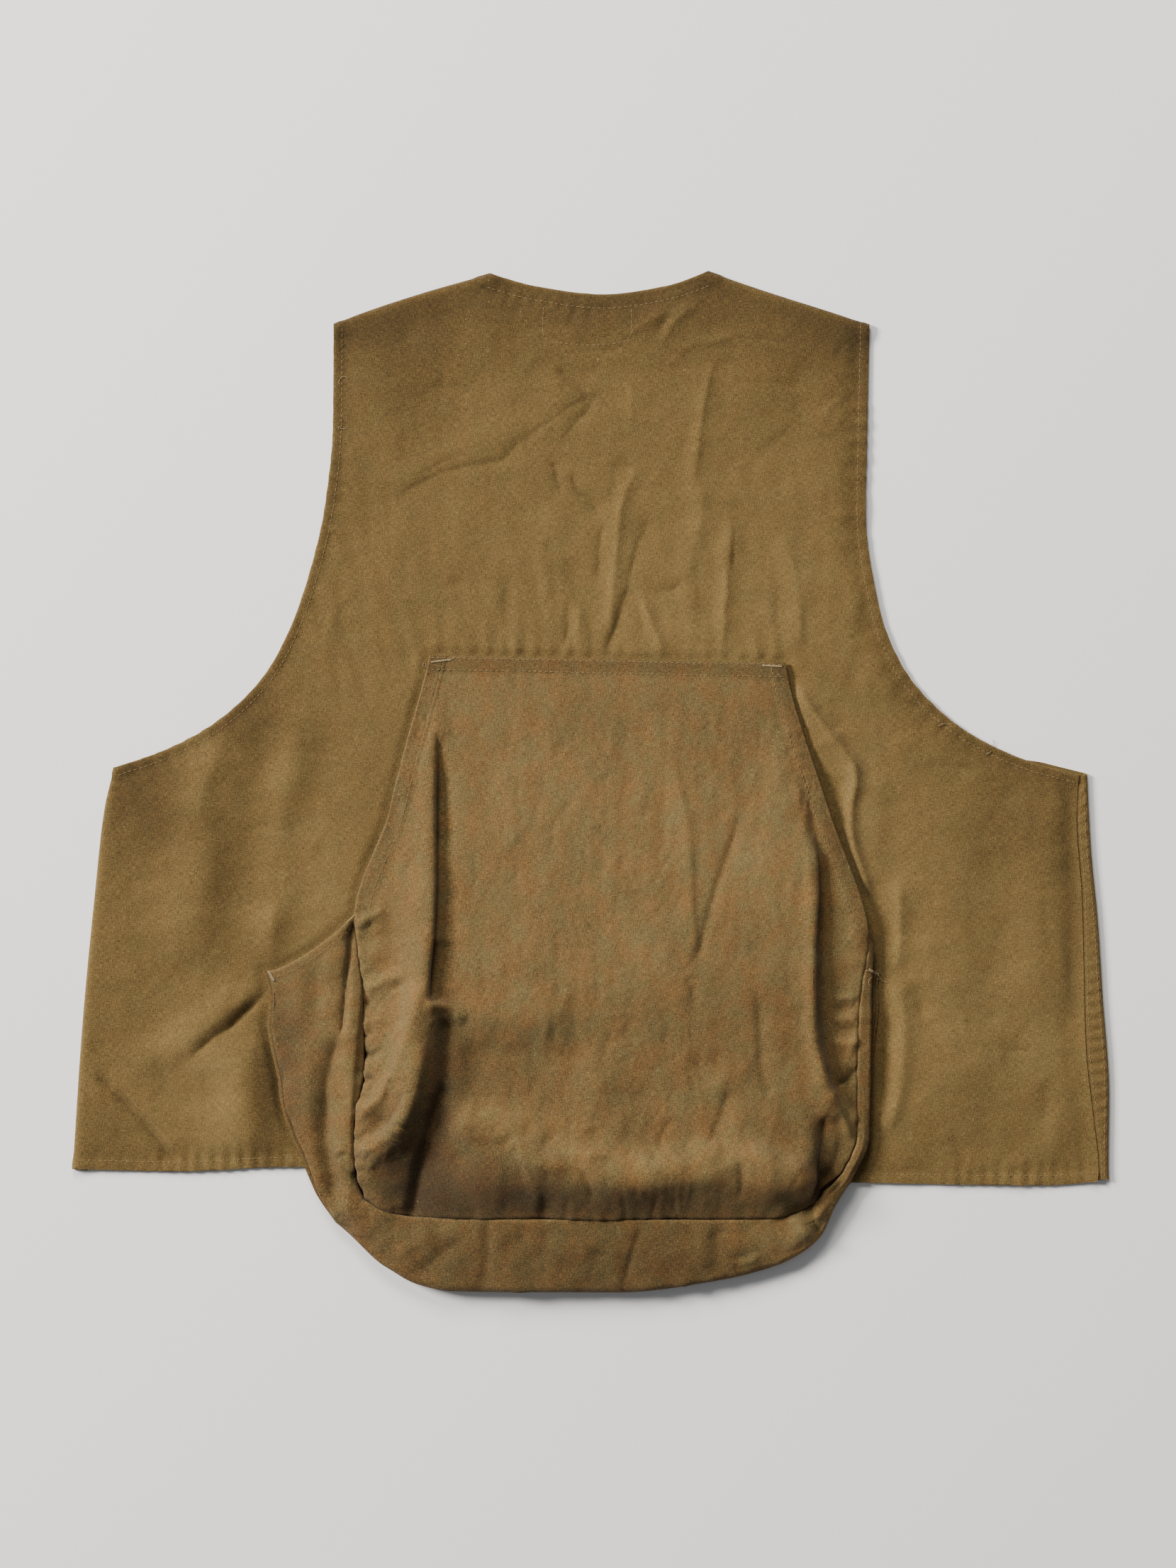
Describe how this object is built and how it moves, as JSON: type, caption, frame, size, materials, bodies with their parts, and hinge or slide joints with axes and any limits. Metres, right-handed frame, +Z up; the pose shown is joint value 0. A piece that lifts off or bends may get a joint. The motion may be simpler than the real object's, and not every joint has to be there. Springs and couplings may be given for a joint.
{
  "type": "hunting vest",
  "caption": "Cotton duck hunting vest laid face down, with a wide bellows game bag hanging from its back below the hem.",
  "frame": {"origin": "centre of the laid garment's outline, on the surface it lies on", "axes": "+Z up from the surface, +Y from the hem to the neck, +X to the right as one looks down on the back"},
  "size_m": [0.7018, 0.6913, 0.0426],
  "materials": {
    "vest_duck": "matte",
    "bag_duck": "matte"
  },
  "bodies": {
    "root": {"back": "vest_duck", "front_left": "vest_duck", "front_right": "vest_duck", "bag_face": "bag_duck", "bag_gusset": "bag_duck", "bag_back": "bag_duck"}
  },
  "joints": []
}
